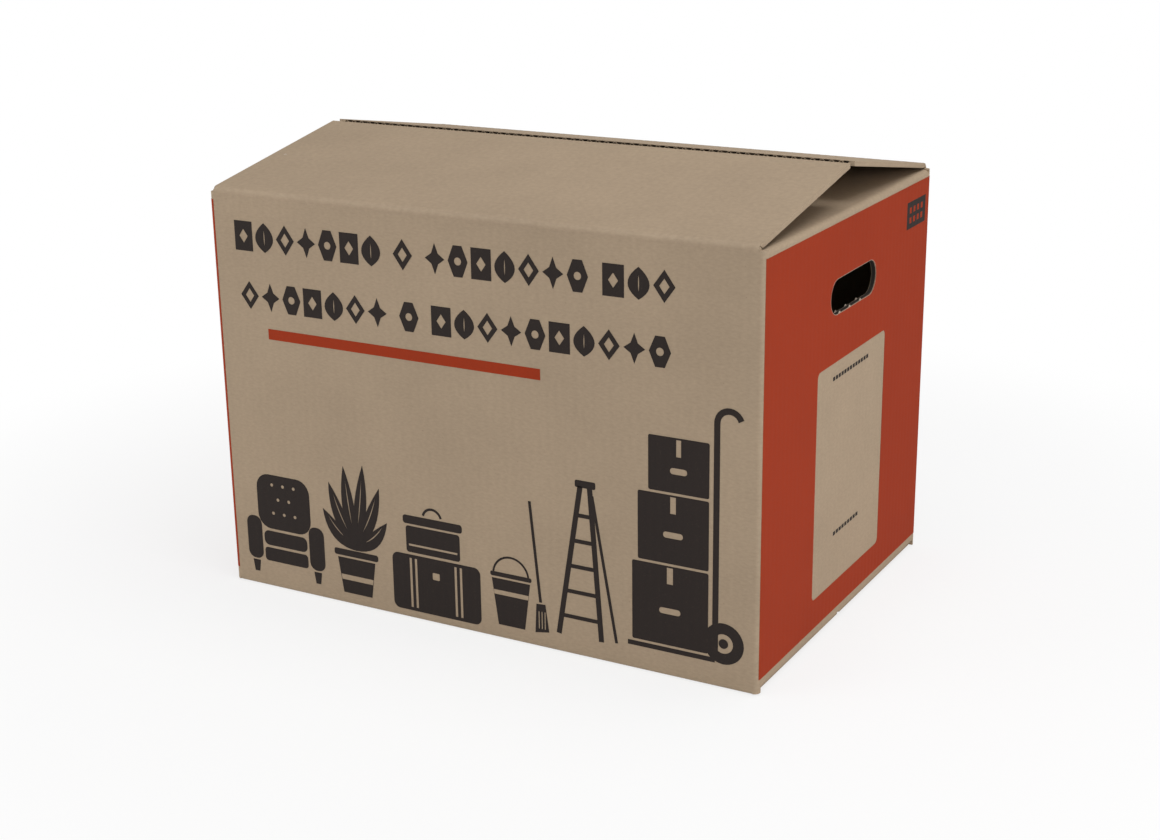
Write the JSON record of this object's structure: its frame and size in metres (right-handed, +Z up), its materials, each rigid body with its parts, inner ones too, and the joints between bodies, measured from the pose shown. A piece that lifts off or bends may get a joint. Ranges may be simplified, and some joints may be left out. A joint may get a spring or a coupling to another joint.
{
  "type": "moving box",
  "caption": "Slotted corrugated moving carton with two hinged top flaps, folded-in dust flaps, a closed bottom and a hand hole in each end.",
  "frame": {"origin": "centre of the box's footprint on the surface it stands on", "axes": "+X along the length towards the right end, +Y from the printed front to the back, +Z up"},
  "size_m": [0.5004, 0.3502, 0.38],
  "materials": {
    "kraft_board": "matte",
    "red_ink": "matte",
    "dark_ink": "matte"
  },
  "bodies": {
    "carton": {"carton": "kraft_board", "right_end_ink": "red_ink", "left_end_ink": "red_ink", "front_rule_ink": "red_ink"},
    "front_flap": {"front_top_flap": "kraft_board"},
    "back_flap": {"back_top_flap": "kraft_board"}
  },
  "joints": [
    {"name": "front_flap_fold", "type": "hinge", "parent": "carton", "child": "front_flap", "pos_m": [0, -0.175, 0.35], "axis": [1, 0, 0], "range_deg": [-10, 255]},
    {"name": "back_flap_fold", "type": "hinge", "parent": "carton", "child": "back_flap", "pos_m": [0, 0.175, 0.35], "axis": [-1, 0, 0], "range_deg": [-10, 255]}
  ]
}
